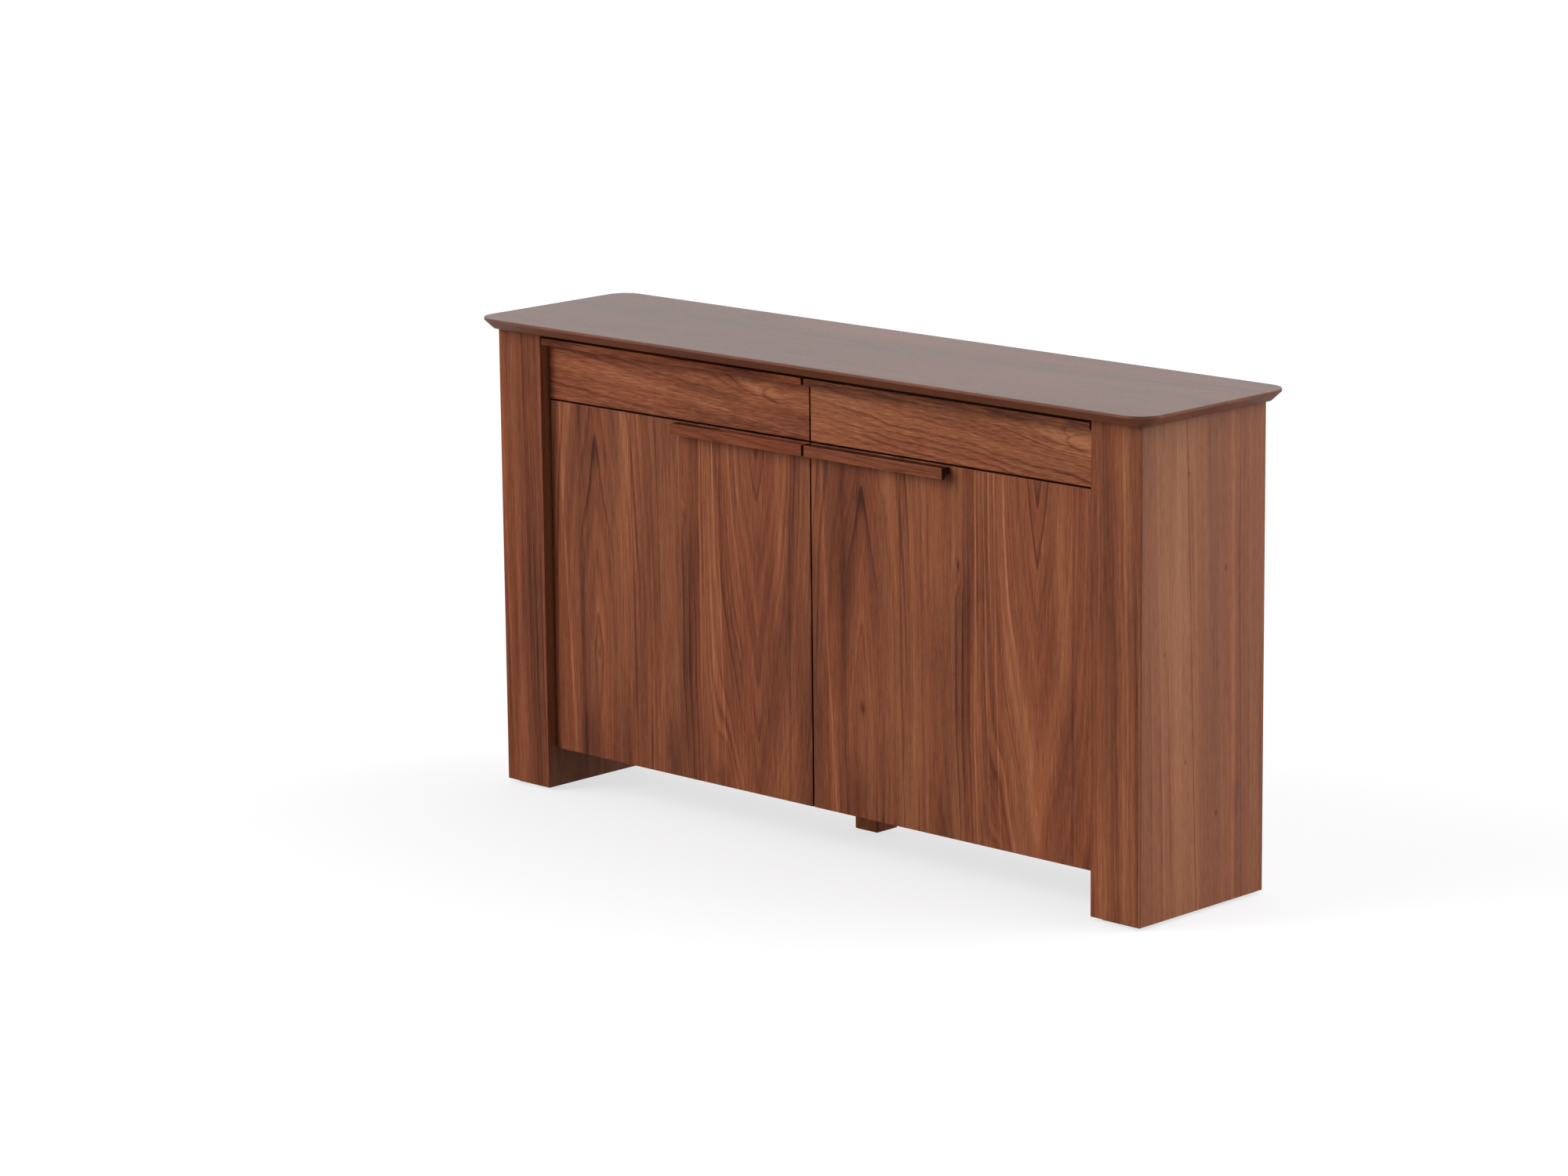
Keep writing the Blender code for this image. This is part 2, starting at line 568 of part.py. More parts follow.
def make_drawer(label, side):
    """The front with its full-width pull, and a box of four thin boards behind it, on two runners."""
    slide = empty(f"{label}_drawer_slide", (side * INNER_HALF / 2, FACE_FRONT, BOX_BOTTOM))
    top = UNDER_TOP - DRAWER_TOP_PLAY
    front_x = mirrored(side, CENTRE_GAP / 2, INNER_HALF - SIDE_GAP)
    front = box(f"{label}_drawer_front", "walnut", front_x, (FACE_FRONT, FACE_BACK), (DRAWER_BOTTOM, top), slide)
    pull_x = mirrored(side, CENTRE_GAP / 2 + PULL_END_INSET, INNER_HALF - SIDE_GAP)
    pull_top = top - DRAWER_PULL_DROP
    make_pull(f"{label}_drawer_pull", pull_x, DRAWER_PULL_DEPTH, DRAWER_PULL_HEIGHT, pull_top, slide)

    low_x, high_x = BOARD / 2 + RUNNER_SPACE, INNER_HALF - RUNNER_SPACE
    box_y = (FACE_BACK + GAP, FRONT + BOX_END)
    box_z = (BOX_BOTTOM, BOX_BOTTOM + BOX_HEIGHT)
    inner_side_x = mirrored(side, low_x, low_x + BOX_BOARD)
    outer_side_x = mirrored(side, high_x - BOX_BOARD, high_x)
    inner_side = box(f"{label}_drawer_inner_side", "birch", inner_side_x, box_y, box_z, slide)
    outer_side = box(f"{label}_drawer_outer_side", "birch", outer_side_x, box_y, box_z, slide)
    tray_z = (BOX_BOTTOM + TRAY_LIFT, BOX_BOTTOM + TRAY_LIFT + TRAY_THICKNESS)
    between = (low_x + BOX_BOARD + GAP, high_x - BOX_BOARD - GAP)
    back_z = (tray_z[1] + GAP, box_z[1])
    back_y = (box_y[1] - BOX_BOARD, box_y[1])
    box(f"{label}_drawer_back", "birch", mirrored(side, *between), back_y, back_z, slide)
    lap = TRAY_GROOVE - GAP
    tray_x = mirrored(side, between[0] - GAP - lap, between[1] + GAP + lap)
    tray_y = (FACE_BACK - lap, box_y[1] - TRAY_INSET)
    box(f"{label}_drawer_tray", "birch", tray_x, tray_y, tray_z, slide, arris=0)
    groove_x = mirrored(side, between[0] - GAP - TRAY_GROOVE, between[1] + GAP + TRAY_GROOVE)
    groove_y = (FACE_BACK - TRAY_GROOVE, box_y[1] + BOARD)
    groove_z = (tray_z[0] - GAP, tray_z[1] + GAP)
    groove = box(f"{label}_tray_groove", "birch", groove_x, groove_y, groove_z, slide, arris=0)
    for board in (front, inner_side, outer_side):
        cut(board, groove)
    make_runner(f"{label}_drawer_inner", side * BOARD / 2, side, slide)
    make_runner(f"{label}_drawer_outer", side * INNER_HALF, -side, slide)


def main():
    clear_scene()
    make_top()
    make_carcass()
    make_leg()
    for label, side in SIDES:
        make_side(label, side)
        make_door(label, side)
        make_shelf(label, side)
        make_drawer(label, side)


main()
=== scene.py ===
"""Looks, floor, studio light and camera for the walnut cabinet with two doors and two drawers."""

import math

import bpy
from mathutils import Matrix, Vector


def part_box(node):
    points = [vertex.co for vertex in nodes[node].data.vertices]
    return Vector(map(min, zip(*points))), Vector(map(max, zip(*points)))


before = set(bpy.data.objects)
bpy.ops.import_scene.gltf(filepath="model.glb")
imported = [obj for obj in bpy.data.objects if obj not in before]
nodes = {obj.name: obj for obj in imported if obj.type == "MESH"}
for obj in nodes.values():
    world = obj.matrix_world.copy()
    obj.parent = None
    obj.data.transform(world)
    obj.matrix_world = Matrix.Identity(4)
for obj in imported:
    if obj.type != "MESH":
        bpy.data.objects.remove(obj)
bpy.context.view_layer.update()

# ---------------------------------------------------------------- shader arithmetic


class Value:
    """A number that varies over a surface. Arithmetic on it adds Math nodes."""

    def __init__(self, tree, source):
        self.tree, self.source = tree, source

    def node(self, operation, *others, clamp=False):
        made = self.tree.nodes.new("ShaderNodeMath")
        made.operation, made.use_clamp = operation, clamp
        for socket, item in zip(made.inputs, (self, *others)):
            connect(self.tree, item, socket)
        return Value(self.tree, made.outputs[0])

    def __add__(self, other):
        return self.node("ADD", other)

    def __sub__(self, other):
        return self.node("SUBTRACT", other)

    def __mul__(self, other):
        return self.node("MULTIPLY", other)

    def __truediv__(self, other):
        return self.node("DIVIDE", other)

    def __neg__(self):
        return self * -1.0

    def __rsub__(self, other):
        return -self + other

    def squared(self):
        return self * self

    def root(self):
        return self.node("SQRT")

    def at_least(self, limit):
        return self.node("MAXIMUM", limit)

    def at_most(self, limit):
        return self.node("MINIMUM", limit)

    def fraction(self):
        return self.node("FRACT")

    def clamped(self):
        return self.node("ADD", 0.0, clamp=True)

    def exponential(self):
        return self.node("EXPONENT")

    def bell(self):
        """1 where this is 0, falling away smoothly over about one unit on both sides."""
        return (-self.squared()).exponential()

    def step(self, low, high):
        """0 below low and 1 above high, or the other way round if low is the larger."""
        made = self.tree.nodes.new("ShaderNodeMapRange")
        made.interpolation_type = "SMOOTHSTEP"
        connect(self.tree, self, made.inputs["Value"])
        ends = (low, high, 0.0, 1.0) if low < high else (high, low, 1.0, 0.0)
        for name, number in zip(("From Min", "From Max", "To Min", "To Max"), ends):
            made.inputs[name].default_value = number
        return Value(self.tree, made.outputs[0])

    def between(self, other, share):
        return self + (other - self) * share


def total(first, *others):
    for other in others:
        first = first + other
    return first


def spot(across, along):
    """1 where both are 0, falling away smoothly over about one unit each way."""
    return (-(across.squared() + along.squared())).exponential()


def connect(tree, item, socket):
    """Link a value or an output to an input, or set the input to a plain number or colour."""
    if isinstance(item, Value):
        item = item.source
    if isinstance(item, bpy.types.NodeSocket):
        tree.links.new(item, socket)
    else:
        socket.default_value = item


def vector(tree, x, y, z):
    made = tree.nodes.new("ShaderNodeCombineXYZ")
    for item, socket in zip((x, y, z), made.inputs):
        connect(tree, item, socket)
    return made.outputs[0]


def noise(tree, x, y, z, detail=2.0, roughness=0.5):
    """Smooth noise from about -1 to 1."""
    made = tree.nodes.new("ShaderNodeTexNoise")
    tree.links.new(vector(tree, x, y, z), made.inputs["Vector"])
    made.inputs["Scale"].default_value = 1.0
    made.inputs["Detail"].default_value = detail
    made.inputs["Roughness"].default_value = roughness
    return Value(tree, made.outputs[0]) * 2.0 - 1.0


def cells(tree, x, y, z):
    """(distance to a cell's middle, a random number for each cell)"""
    made = tree.nodes.new("ShaderNodeTexVoronoi")
    made.inputs["Scale"].default_value = 1.0
    tree.links.new(vector(tree, x, y, z), made.inputs["Vector"])
    parts = tree.nodes.new("ShaderNodeSeparateColor")
    tree.links.new(made.outputs["Color"], parts.inputs[0])
    return Value(tree, made.outputs["Distance"]), Value(tree, parts.outputs[0])


def blend_colours(tree, first, second, share):
    made = tree.nodes.new("ShaderNodeMix")
    made.data_type = "RGBA"
    connect(tree, share, made.inputs["Factor"])
    connect(tree, first, made.inputs["A"])
    connect(tree, second, made.inputs["B"])
    return made.outputs["Result"]


def ramp(tree, value, stops):
    """The colour for a value, from stops of (value, colour)."""
    made = tree.nodes.new("ShaderNodeValToRGB")
    elements = made.color_ramp.elements
    while len(elements) < len(stops):
        elements.new(0.5)
    for element, (place, colour) in zip(elements, stops):
        element.position, element.color = place, (*colour, 1.0)
    connect(tree, value, made.inputs["Fac"])
    return made.outputs["Color"]


def new_material(name):
    """(material, tree, shader, [x, y, z]), with the object's own coordinates in metres."""
    made = bpy.data.materials.new(name)
    made.use_nodes = True
    tree = made.node_tree
    shader = tree.nodes["Principled BSDF"]
    place = tree.nodes.new("ShaderNodeTexCoord")
    parts = tree.nodes.new("ShaderNodeSeparateXYZ")
    tree.links.new(place.outputs["Object"], parts.inputs[0])
    return made, tree, shader, [Value(tree, socket) for socket in parts.outputs]


def bump(tree, shader, height, distance):
    made = tree.nodes.new("ShaderNodeBump")
    made.inputs["Distance"].default_value = distance
    connect(tree, height, made.inputs["Height"])
    tree.links.new(made.outputs["Normal"], shader.inputs["Normal"])


# ---------------------------------------------------------------- wood

# the colours of two sorts of walnut and of birch, from the darkest pore to the lightest streak
WALNUT_RED = (
    (0.0, (0.072, 0.021, 0.010)),
    (0.3, (0.172, 0.046, 0.021)),
    (0.5, (0.255, 0.071, 0.031)),
    (0.7, (0.340, 0.104, 0.044)),
    (1.0, (0.480, 0.175, 0.078)),
)
WALNUT_BROWN = (
    (0.0, (0.060, 0.022, 0.012)),
    (0.3, (0.150, 0.050, 0.025)),
    (0.5, (0.228, 0.077, 0.036)),
    (0.7, (0.310, 0.115, 0.051)),
    (1.0, (0.450, 0.195, 0.090)),
)
BIRCH_PALE = (
    (0.0, (0.400, 0.270, 0.150)),
    (0.3, (0.560, 0.410, 0.250)),
    (0.5, (0.640, 0.490, 0.315)),
    (0.7, (0.700, 0.550, 0.370)),
    (1.0, (0.760, 0.620, 0.440)),
)
BIRCH_WARM = (
    (0.0, (0.380, 0.240, 0.120)),
    (0.3, (0.540, 0.370, 0.205)),
    (0.5, (0.620, 0.450, 0.270)),
    (0.7, (0.680, 0.515, 0.325)),
    (1.0, (0.740, 0.590, 0.395)),
)
LACQUER_IOR = 1.5
PORE_DEPTH = 0.00009


def wood(
    name,
    grain,
    rings,
    seed,
    tone=0.5,
    warmth=0.5,
    contrast=1.0,
    roughness=0.36,
    specular=0.10,
    dashes=0.10,
    streaks=None,
    ramps=(WALNUT_BROWN, WALNUT_RED),
):
    """Lacquered wood.

    grain is the axes along, across and through the board. rings(tree, u, v, w) gives the
    year-ring count there and how strongly fine lines show, and streaks(tree, u, v, w) is added
    to the tone. warmth leads from the first of ramps to the second. dashes is the strength of
    the short flecks.
    """
    made, tree, shader, axes = new_material(name)
    u, v, w = (axes["xyz".index(letter)] for letter in grain)

    # the grain wanders from side to side, widely and then finely
    v = v + noise(tree, u * 2.2, v * 5.0, seed, 1.0) * 0.0035
    v = v + noise(tree, u * 9.0, v * 30.0, seed + 3.1, 1.0) * 0.0007

    # year rings: uneven bands, with a sharp dark line of late wood where the ring is strong
    ring, fineness = rings(tree, u, v, w)
    bands = noise(tree, ring * 0.55, u * 0.5, seed + 7.7, 2.0, 0.6)
    fine_bands = noise(tree, ring * 3.2, u * 1.0, seed + 1.9, 2.0, 0.6)
    phase = (ring + bands * 0.5).fraction()
    strength = noise(tree, ring * 0.45, u * 2.2, seed + 12.0, 1.0).step(-0.15, 0.45)
    late = phase.step(0.50, 0.95) * phase.step(1.0, 0.95) * strength

    # broad clouds, fibres, hair lines, pores and short flecks, each finer than the last
    broad = noise(tree, u * 1.3, v * 11.0, seed + 4.2, 2.0, 0.55)
    fibre = noise(tree, u * 12.0, v * 380.0, w * 380.0 + seed, 3.0, 0.7)
    hair = noise(tree, u * 40.0, v * 1500.0, w * 1500.0 + seed, 2.0, 0.6)
    pore = noise(tree, u * 110.0, v * 1250.0, w * 1250.0 + seed, 1.0, 0.5).step(0.22, 0.55)
    dash = noise(tree, u * 45.0, v * 520.0, w * 520.0 + seed, 1.0, 0.5)
    shade = (
        bands * 0.30
        + fine_bands * fineness
        + broad * 0.30
        + fibre * 0.27
        + hair * 0.12
        + dash * dashes
        - late * 0.20
        - (phase - 0.5) * strength * 0.10
        - pore * (0.22 - phase * 0.10)
    )
    level = shade * (contrast * 1.35) + tone
    if streaks is not None:
        level = level + streaks(tree, u, v, w)
    hue = noise(tree, u * 0.9, v * 14.0, seed + 5.5, 2.0, 0.5) * 0.9 + fine_bands * 0.3 + warmth
    cool, warm = (ramp(tree, level, stops) for stops in ramps)
    tree.links.new(blend_colours(tree, cool, warm, hue.clamped()), shader.inputs["Base Color"])

    gloss = fibre * 0.03 + pore * 0.12 + dash * 0.025 + roughness
    connect(tree, gloss.clamped(), shader.inputs["Roughness"])
    shader.inputs["IOR"].default_value = LACQUER_IOR
    shader.inputs["Specular IOR Level"].default_value = specular
    bump(tree, shader, fibre * 0.35 + hair * 0.3 - pore, PORE_DEPTH)
    return made


def on_side(value, limit, inward, reach=0.0005, skin=0.0001):
    """1 on the side of a board at limit, 0 from reach inside it. inward is 1 or -1."""
    return value.step(limit + inward * reach, limit + inward * skin)


def edge_mask(u, v, along, across):
    """1 on a board's four narrow sides, 0 on its faces. along and across are (low, high)."""
    return total(
        on_side(u, along[0], 1),
        on_side(u, along[1], -1),
        on_side(v, across[0], 1),
        on_side(v, across[1], -1),
    ).clamped()


def stretched(across=7.0, along=0.55, count=9.0, slant=0.0, spread=26.0):
    """Rings of a plain-sawn board: the contours of noise drawn out along the grain."""

    def rings(tree, u, v, w):
        leaning = v + u * slant
        swell = noise(tree, leaning * across, u * along, w * across, 1.0, 0.4)
        return swell * count + leaning * spread, 0.20

    return rings


# ---------------------------------------------------------------- doors
# u is the height above the floor and v the distance from the door's left edge

RING_PITCH = 0.0125
ARCH_TIP = 0.004
LEAF_JOINT = 0.25
# painted shade on the narrow sides of doors and drawer fronts, to darken the gaps between them
GAP_PAINTED_SHADE = 0.35


def cathedral(side, depth, reach):
    """Distance from the heart of the log, for a cut that leans away from it.

    It draws pointed arches near the middle, where side is 0, and straight grain beyond reach.
    """
    straight = (side.squared() + ARCH_TIP**2).root()
    return straight + depth / ((side / (depth * 0.8 + reach)).squared() + 1.0)


def past_joint(v):
    """0 on a door's first leaf of veneer, 1 on its second."""
    return v.step(LEAF_JOINT - 0.0002, LEAF_JOINT + 0.0002)


def door_rings(left_edge, change):
    """Two slip-matched leaves, each cut past the heart of the log.

    The first has a rising cathedral, and the second a falling one beside a small rising one.
    change tells one door's sheets from the next.
    """
    heart_across, heart_height = 0.107, 0.253
    falling_across, falling_top = 0.476, 0.70
    rising_across, rising_foot, rising_top = 0.272, 0.05, 0.25
    knot_across, knot_height = 0.312, 0.520

    def rings(tree, u, v, w):
        v = v - left_edge
        u = u + change * 0.025
        wander = noise(tree, u * 3.5, v * 6.0, change + 2.0, 2.0, 0.5)

        sway = noise(tree, u * 2.0, change * 1.3, 0.4, 1.0) * 0.006
        above = (u - heart_height).at_least(0.0)
        below = (heart_height - u).at_least(0.0)
        depth = above * 0.125 + below * 0.05 + wander * 0.009
        first = cathedral(v - heart_across + sway, depth, 0.024)

        depth = (falling_top - u) * 0.135 + wander * 0.010
        falling = cathedral(v - falling_across, depth, 0.026)
        depth = (u.at_most(rising_top) - rising_foot).at_least(0.0) * 0.10 + wander * 0.006
        rising = 0.205 - cathedral(v - rising_across, depth, 0.020)
        second = rising.between(falling, v.step(0.335, 0.41))
        knot = spot((v - knot_across) / 0.008, (u - knot_height) / 0.020)
        second = second + knot * 0.010 + 0.3

        fineness = v.step(0.325, 0.350) * v.step(0.450, 0.420) * 0.32 + 0.10
        return first.between(second, past_joint(v)) / RING_PITCH, fineness

    return rings


def door_streaks(low, high, change):
    """The light streaks, dark bands and joint of a door's leaves, and painted shade on its narrow
    sides, where they line the gaps.
    """
    half_way = 0.37

    def streaks(tree, u, v, w):
        # painted shade on the narrow sides, where they line the gaps
        gap_shade_sides = edge_mask(u, v, (low[2], high[2]), (low[0], high[0]))
        v = v - low[0]
        wobble = noise(tree, u * 2.6, change * 0.7, 5.0, 2.0) * 0.006
        fading = noise(tree, u * 3.0, v * 20.0, change + 8.0, 1.0) * 0.9 + 1.0

        def streak(middle, width, slope=0.0):
            return ((v - middle + (u - half_way) * slope + wobble) / width).bell()

        def lump(middle, height, width, length):
            return spot((v - middle) / width, (u - height) / length)

        light = total(
            streak(0.034, 0.0025, 0.050) * 0.26,
            streak(0.393, 0.0020, 0.022) * 0.24,
            streak(0.372, 0.0013, 0.025) * 0.18,
            streak(0.352, 0.0015, 0.020) * 0.12,
            streak(0.178, 0.0120, 0.045) * 0.12,
            streak(0.120, 0.0200) * 0.05,
            lump(0.278, 0.540, 0.022, 0.130) * 0.16,
            lump(0.525, 0.540, 0.013, 0.140) * 0.20,
            lump(0.225, 0.150, 0.022, 0.220) * 0.10,
            lump(0.468, 0.150, 0.020, 0.140) * 0.08,
        )
        dark = total(
            streak(0.069, 0.0060, 0.010) * 0.15,
            streak(0.193, 0.0016, 0.012) * 0.24,
            streak(0.549, 0.0022, -0.012) * 0.20,
            streak(0.012, 0.0120) * 0.08,
            streak(0.318, 0.0200, -0.060) * u.step(0.54, 0.44) * 0.17,
            lump(0.105, 0.590, 0.012, 0.025) * 0.22,
            lump(0.109, 0.253, 0.004, 0.010) * 0.35,
            lump(0.095, 0.100, 0.030, 0.060) * 0.16,
            lump(0.312, 0.512, 0.003, 0.010) * 0.30,
            lump(0.275, 0.100, 0.015, 0.080) * 0.14,
            lump(0.575, 0.350, 0.020, 0.300) * 0.05,
        )
        seam = v.step(LEAF_JOINT - 0.0015, LEAF_JOINT - 0.0002)
        seam = seam * v.step(LEAF_JOINT + 0.0015, LEAF_JOINT + 0.0002) * 0.06
        figure = light * fading - dark * fading - seam - past_joint(v) * 0.02
        return figure - gap_shade_sides * GAP_PAINTED_SHADE

    return streaks


# ---------------------------------------------------------------- drawers and pulls
# u is the distance along the front and v the height above the floor

EYE_HEIGHT = 0.742
PATCH_HEIGHT = 0.741
CURL_HEIGHT = 0.737
BAND_HEIGHT = 0.728
EYE_HALF_WIDTH = 0.085


def drawer_rings(eye, change):
    """Wavy rings that slope down to the right, round an eye near the upper right corner."""

    def rings(tree, u, v, w):
        across, height = u - eye, v - EYE_HEIGHT
        waves = noise(tree, u * 7.0, v * 12.0, change, 3.0, 0.6) * 0.012
        swell = spot(across / EYE_HALF_WIDTH, height / 0.022)
        return (height + across * 0.11 + waves) * 85.0 + swell * 3.0, 0.17

    return rings


def drawer_streaks(low, high, eye, change):
    """The light patch round a drawer front's eye, the dark curl in it and a dull band.

    The front's narrow sides carry painted shade, where they line the gaps.
    """

    def streaks(tree, u, v, w):
        # painted shade on the narrow sides, where they line the gaps
        gap_shade_sides = edge_mask(u, v, (low[0], high[0]), (low[2], high[2]))
        wander = noise(tree, u * 22.0, v * 50.0, change, 2.0, 0.5)
        across = u - eye

        height = v - PATCH_HEIGHT + across * 0.10
        patch = spot(across / EYE_HALF_WIDTH + wander * 0.35, height / 0.014 + wander * 0.5)

        swirl = total(
            ((across - 0.022) / 0.034 + wander * 0.12).squared(),
            ((v - CURL_HEIGHT) / 0.012 + wander * 0.15).squared(),
        )
        curl = ((swirl.root() - 1.0) / 0.13).bell() * u.step(eye + 0.045, eye + 0.010)

        band = ((v - BAND_HEIGHT + across * 0.11 + wander * 0.003) / 0.0045).bell()
        dull = band * noise(tree, u * 5.0, change, 3.0, 1.0).step(-0.35, 0.30)
        return patch * 0.36 - curl * 0.30 - dull * 0.16 - gap_shade_sides * GAP_PAINTED_SHADE

    return streaks


def pull_streaks(low, high, patches):
    """Darker ends, partly end grain that drank more stain and partly painted shade, painted shade
    on the upper side behind the lip and painted highlights along the front arrises.

    patches are changes of colour: (middle, half length, change of tone).
    """
    end_stain_and_painted_shade, upper_painted_shade = 0.48, 0.45

    def streaks(tree, u, v, w):
        # darker ends: partly end grain that drank more stain, partly painted shade
        ends = on_side(u, low[0], 1, 0.0004) * end_stain_and_painted_shade
        ends = ends + on_side(u, high[0], -1, 0.0004) * end_stain_and_painted_shade
        # painted shade on the upper side behind the lip
        behind_lip = w.step(low[1] + 0.0008, low[1] + 0.0014)
        shaded_upper_side = on_side(v, high[2], -1, 0.0004) * behind_lip * upper_painted_shade

        # painted highlight along the front arrises, in patches
        patchy = noise(tree, u * 40.0, 3.0, 5.0, 2.0) * 0.5 + 0.6
        arrises = on_side(v, low[2], 1, 0.0016, 0.0004) + on_side(v, high[2], -1, 0.0012, 0.0003)
        painted_arris_highlight = arrises * on_side(w, low[1], 1, 0.0016, 0.0006) * patchy * 0.22

        change = painted_arris_highlight - ends - shaded_upper_side
        for middle, length, tone in patches:
            change = change + ((u - middle) / length).bell() * tone
        return change

    return streaks


# ---------------------------------------------------------------- top, posts and side panels


def top_streaks(surface):
    """Below the top's surface its edges are a little lighter than its face."""

    def streaks(tree, u, v, w):
        mottle = noise(tree, u * 6.0, 1.0, 2.0, 2.0) * 0.08
        return w.step(surface - 0.0004, surface - 0.0009) * (mottle + 0.27)

    return streaks


def post_streaks(light_at, light, dark_at):
    """A light streak down a post and a dark line beside it."""
    half_way = 0.4

    def streaks(tree, u, v, w):
        bright = ((v - light_at) / 0.006).bell()
        dull = ((v - dark_at + (u - half_way) * 0.02) / 0.0022).bell()
        return bright * light - dull * 0.13

    return streaks


def side_streaks(tree, u, v, w):
    """Fine leaning lines down a side panel, one light streak and a few pin knots."""
    half_way = 0.47
    wander = noise(tree, u * 3.0, 4.0, 6.0, 2.0) * 0.004

    def line(middle, width, slope):
        return ((v - middle + (u - half_way) * slope + wander) / width).bell()

    def knot(middle, height, size):
        return spot((v - middle) / size, (u - height) / (size * 1.8))

    breaks = noise(tree, u * 5.0, v * 30.0, 2.0, 1.0) * 0.6 + 0.8
    dark = total(
        line(-0.031, 0.0012, 0.035) * 0.42,
        line(0.084, 0.0010, -0.006) * 0.16,
        line(-0.100, 0.0009, 0.010) * 0.10,
        line(-0.012, 0.0015, 0.020) * 0.10,
        line(0.120, 0.0012, 0.0) * 0.10,
    )
    light = total(
        line(0.070, 0.0040, 0.010) * 0.17,
        line(-0.136, 0.0012, 0.0) * 0.10,
        line(0.040, 0.0030, 0.020) * 0.06,
    )
    knots = total(
        knot(0.053, 0.535, 0.0028),
        knot(-0.091, 0.422, 0.0022),
        knot(0.032, 0.152, 0.0028),
        knot(-0.041, 0.246, 0.0020),
        knot(-0.037, 0.693, 0.0022),
    )
    bloom = knot(0.045, 0.100, 0.012) + knot(0.080, 0.170, 0.014)
    return light - dark * breaks - knots * 0.34 - bloom * 0.10


# ---------------------------------------------------------------- steel, core board, felt, nylon


def steel(name, grain, roughness=0.30):
    """Bright zinc plate with faint rolling lines along the grain and a cloudy finish."""
    made, tree, shader, axes = new_material(name)
    u, v, w = (axes["xyz".index(letter)] for letter in grain)
    lines = noise(tree, u * 25.0, v * 2600.0, w * 2600.0, 2.0, 0.6)
    cloud = noise(tree, u * 70.0, v * 70.0, w * 70.0, 3.0, 0.5)
    pits = noise(tree, u * 900.0, v * 900.0, w * 900.0, 1.0).step(0.45, 0.70)
    shade = (lines * 0.14 + cloud * 0.26 - pits * 0.20 + 0.55).clamped()
    stops = ((0.0, (0.30, 0.31, 0.33)), (0.5, (0.53, 0.54, 0.56)), (1.0, (0.71, 0.71, 0.69)))
    tree.links.new(ramp(tree, shade, stops), shader.inputs["Base Color"])
    shader.inputs["Metallic"].default_value = 1.0
    gloss = (lines * 0.07 + cloud * 0.09 + pits * 0.15 + roughness).clamped()
    connect(tree, gloss, shader.inputs["Roughness"])
    bump(tree, shader, lines * 0.5 + cloud * 0.4 - pits, 0.00004)
    return made


def chipboard(name):
    """Pressed flakes of wood of many tones, with dark gaps between them."""
    made, tree, shader, (x, y, z) = new_material(name)
    warp = noise(tree, x * 300.0, y * 300.0, z * 300.0, 2.0) * 0.0012
    away, chance = cells(tree, (x + warp) * 420.0, (y + warp) * 420.0, z * 150.0)
    dust = noise(tree, x * 2400.0, y * 2400.0, z * 2400.0, 2.0, 0.6)
    shade = (chance * 0.7 - away.step(0.45, 0.85) * 0.35 + dust * 0.14 + 0.22).clamped()
    stops = (
        (0.0, (0.13, 0.080, 0.042)),
        (0.4, (0.36, 0.25, 0.15)),
        (0.7, (0.52, 0.39, 0.25)),
        (1.0, (0.68, 0.54, 0.37)),
    )
    tree.links.new(ramp(tree, shade, stops), shader.inputs["Base Color"])
    connect(tree, (dust * 0.08 + 0.84).clamped(), shader.inputs["Roughness"])
    shader.inputs["Specular IOR Level"].default_value = 0.2
    bump(tree, shader, chance * 0.6 + dust * 0.4 - away, 0.0004)
    return made


def felt(name):
    """Dark pressed wool: short crossing fibres and a little lint."""
    made, tree, shader, (x, y, z) = new_material(name)
    bend = noise(tree, x * 120.0, y * 120.0, z * 120.0, 2.0) * 0.004
    depth = z * 1500.0
    hairs = noise(tree, (x + bend) * 3200.0, (y - bend) * 500.0, depth, 2.0, 0.7)
    crossing = noise(tree, (x - bend) * 500.0, (y + bend) * 3200.0, depth + 9.0, 2.0, 0.7)
    lint = noise(tree, x * 1400.0, y * 700.0, z * 1400.0, 1.0).step(0.50, 0.72)
    shade = (hairs * 0.30 + crossing * 0.30 + lint * 0.45 + 0.40).clamped()
    stops = (
        (0.0, (0.012, 0.010, 0.009)),
        (0.5, (0.036, 0.031, 0.028)),
        (1.0, (0.110, 0.100, 0.092)),
    )
    tree.links.new(ramp(tree, shade, stops), shader.inputs["Base Color"])
    shader.inputs["Roughness"].default_value = 0.95
    shader.inputs["Specular IOR Level"].default_value = 0.1
    shader.inputs["Sheen Weight"].default_value = 0.3
    bump(tree, shader, hairs * 0.5 + crossing * 0.5 + lint * 0.4, 0.0003)
    return made


def nylon(name):
    """Black moulded nylon with a fine spark-eroded grain and scuffs."""
    made, tree, shader, (x, y, z) = new_material(name)
    grain = noise(tree, x * 2600.0, y * 2600.0, z * 2600.0, 2.0, 0.6)
    scuff = noise(tree, x * 160.0, y * 900.0, z * 160.0, 3.0, 0.6).step(0.30, 0.62)
    shade = (grain * 0.25 + scuff * 0.45 + 0.35).clamped()
    stops = (
        (0.0, (0.018, 0.017, 0.016)),
        (0.5, (0.040, 0.038, 0.036)),
        (1.0, (0.100, 0.096, 0.090)),
    )
    tree.links.new(ramp(tree, shade, stops), shader.inputs["Base Color"])
    connect(tree, (grain * 0.08 + scuff * 0.18 + 0.42).clamped(), shader.inputs["Roughness"])
    bump(tree, shader, grain * 0.6 - scuff * 0.4, 0.00006)
    return made


# ---------------------------------------------------------------- every piece's own look


def dress(material, *names):
    for name in names:
        for slot in nodes[name].material_slots:
            slot.material = material


